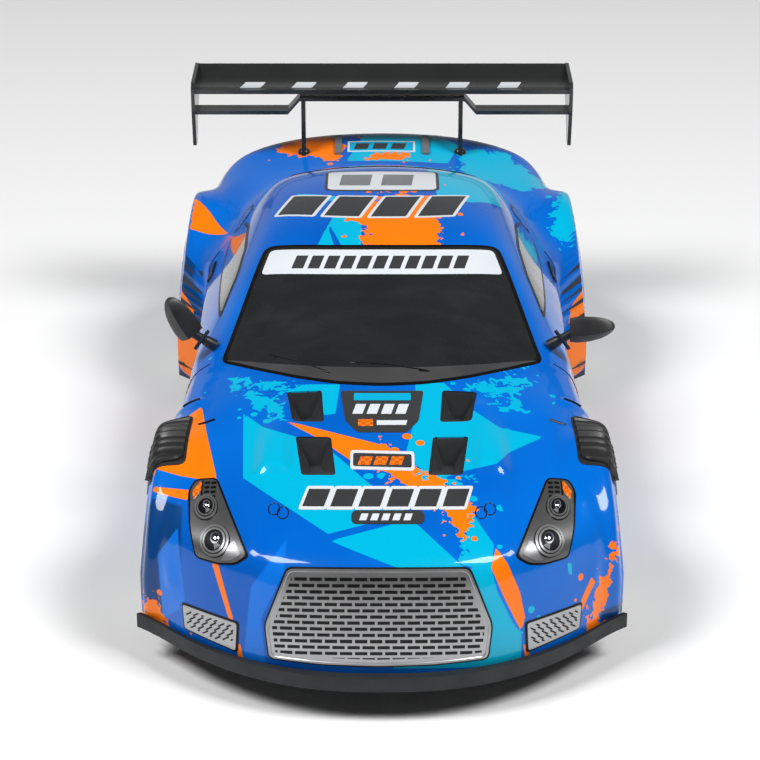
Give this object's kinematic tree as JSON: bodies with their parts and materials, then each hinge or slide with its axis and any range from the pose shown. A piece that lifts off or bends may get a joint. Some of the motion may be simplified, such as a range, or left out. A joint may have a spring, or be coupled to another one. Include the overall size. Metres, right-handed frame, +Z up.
{
  "type": "remote control car",
  "caption": "Remote control touring car with a printed lift-off body shell, rear wing, swivelling door mirrors, geared rear drive and servo steering on a plastic tub chassis.",
  "frame": {"origin": "on the ground below the middle of the car's bounding box", "axes": "+Z up, +Y towards the tail (the nose faces -Y), +X towards the driver's left"},
  "size_m": [0.1319, 0.28, 0.0886],
  "materials": {
    "printed_body": "glossy printed film on clear moulding",
    "black_gloss": "glossy moulded black",
    "black_satin": "satin moulded black",
    "splitter_grey": "matt moulded dark grey",
    "tub_black": "fine textured black nylon",
    "tyre_rubber": "matt black rubber",
    "rim_silver": "silver lacquered plastic",
    "steel": "bright turned steel",
    "zinc_screw": "zinc plated",
    "brass": "turned brass",
    "gear_white": "natural acetal",
    "motor_steel": "zinc plated can",
    "battery_wrap": "green shrink wrap",
    "circuit_green": "lacquered circuit board",
    "knob_red": "moulded red"
  },
  "bodies": {
    "chassis": {"chassis_tub": "tub_black", "body_posts": "tub_black", "body_magnets": "zinc_screw", "battery_pack": "battery_wrap", "receiver_board": "circuit_green", "switch_case": "black_satin", "front_splitter": "splitter_grey", "rear_valance": "splitter_grey", "steering_brace": "tub_black", "kingpins": "steel", "steering_servo": "black_satin", "servo_screws": "zinc_screw", "motor": "motor_steel", "gearbox_left": "tub_black", "gearbox_right": "tub_black", "gearbox_screws": "zinc_screw", "axle_carrier": "tub_black", "axle_bushes": "brass"},
    "shell": {"body_shell": "printed_body", "fender_louvre_left": "black_satin", "fender_louvre_right": "black_satin", "wing_main_plane": "black_gloss", "wing_lower_flap": "black_gloss", "wing_endplate_left": "black_gloss", "wing_endplate_right": "black_gloss", "wing_upright_left": "black_gloss", "wing_upright_right": "black_gloss", "wing_screws": "zinc_screw", "mirror_base_left": "black_satin", "mirror_base_right": "black_satin", "shell_steel_pads": "steel", "shell_bosses": "black_satin"},
    "mirror_left": {"mirror_housing_left": "black_satin"},
    "mirror_right": {"mirror_housing_right": "black_satin"},
    "knuckle_left": {"steering_knuckle_left": "tub_black", "stub_axle_left": "steel", "front_wheel_nut_left": "zinc_screw"},
    "knuckle_right": {"steering_knuckle_right": "tub_black", "stub_axle_right": "steel", "front_wheel_nut_right": "zinc_screw"},
    "front_wheel_left": {"front_rim_left": "rim_silver", "front_tyre_left": "tyre_rubber"},
    "front_wheel_right": {"front_rim_right": "rim_silver", "front_tyre_right": "tyre_rubber"},
    "steering_link": {"steering_bar": "tub_black"},
    "servo_arm": {"servo_horn": "gear_white"},
    "rear_axle_set": {"rear_axle": "steel", "axle_gear": "gear_white", "rear_hex_drives": "brass", "rear_wheel_nuts": "zinc_screw", "rear_rim_left": "rim_silver", "rear_rim_right": "rim_silver", "rear_tyre_left": "tyre_rubber", "rear_tyre_right": "tyre_rubber"},
    "gear_cluster": {"cluster_gear": "gear_white", "cluster_shaft": "steel"},
    "motor_rotor": {"motor_shaft": "steel", "motor_pinion": "brass"},
    "battery_cover": {"battery_door": "tub_black"},
    "switch_slider": {"power_switch": "knob_red"}
  },
  "joints": [
    {"name": "shell_lift", "type": "slide", "parent": "chassis", "child": "shell", "axis": [0, 0, 1], "range_m": [0, 0.09]},
    {"name": "mirror_swivel_left", "type": "hinge", "parent": "shell", "child": "mirror_left", "pos_m": [0.0548, -0.029, 0.0609], "axis": [0.8002, -0.1739, 0.574], "range_deg": [-35, 35]},
    {"name": "mirror_swivel_right", "type": "hinge", "parent": "shell", "child": "mirror_right", "pos_m": [-0.0548, -0.029, 0.0609], "axis": [-0.8002, -0.1739, 0.574], "range_deg": [-35, 35]},
    {"name": "steer_left", "type": "hinge", "parent": "chassis", "child": "knuckle_left", "pos_m": [0.034, -0.08, 0.021], "axis": [0, 0, 1], "range_deg": [-22, 22]},
    {"name": "steer_right", "type": "hinge", "parent": "chassis", "child": "knuckle_right", "pos_m": [-0.034, -0.08, 0.021], "axis": [0, 0, 1], "range_deg": [-22.5, 22.5]},
    {"name": "steering_bar_slide", "type": "slide", "parent": "chassis", "child": "steering_link", "axis": [1, 0, 0], "range_m": [-0.0047, 0.0047]},
    {"name": "servo_turn", "type": "hinge", "parent": "chassis", "child": "servo_arm", "pos_m": [0, -0.056, 0.026], "axis": [0, 0, 1], "range_deg": [-22.5, 22.5]},
    {"name": "front_wheel_spin_left", "type": "hinge", "parent": "knuckle_left", "child": "front_wheel_left", "pos_m": [0.051, -0.08, 0.021], "axis": [1, 0, 0], "continuous": true},
    {"name": "front_wheel_spin_right", "type": "hinge", "parent": "knuckle_right", "child": "front_wheel_right", "pos_m": [-0.051, -0.08, 0.021], "axis": [1, 0, 0], "continuous": true},
    {"name": "rear_axle_spin", "type": "hinge", "parent": "chassis", "child": "rear_axle_set", "pos_m": [0, 0.087, 0.021], "axis": [1, 0, 0], "continuous": true},
    {"name": "cluster_spin", "type": "hinge", "parent": "chassis", "child": "gear_cluster", "pos_m": [0.012, 0.0738, 0.021], "axis": [1, 0, 0], "continuous": true},
    {"name": "motor_spin", "type": "hinge", "parent": "chassis", "child": "motor_rotor", "pos_m": [0, 0.0612, 0.021], "axis": [1, 0, 0], "continuous": true},
    {"name": "battery_door_slide", "type": "slide", "parent": "chassis", "child": "battery_cover", "axis": [0, 1, 0], "range_m": [0, 0.055]},
    {"name": "power_switch_slide", "type": "slide", "parent": "chassis", "child": "switch_slider", "axis": [0, 1, 0], "range_m": [0, 0.004]}
  ],
  "couplings": [
    {"joint": "steer_right", "follows": "steer_left", "ratio": 1},
    {"joint": "steering_bar_slide", "follows": "steer_left", "m_per_rad": -0.012},
    {"joint": "servo_turn", "follows": "steer_left", "ratio": -1},
    {"joint": "cluster_spin", "follows": "rear_axle_spin", "ratio": -2.6667},
    {"joint": "motor_spin", "follows": "rear_axle_spin", "ratio": 8.5333}
  ]
}
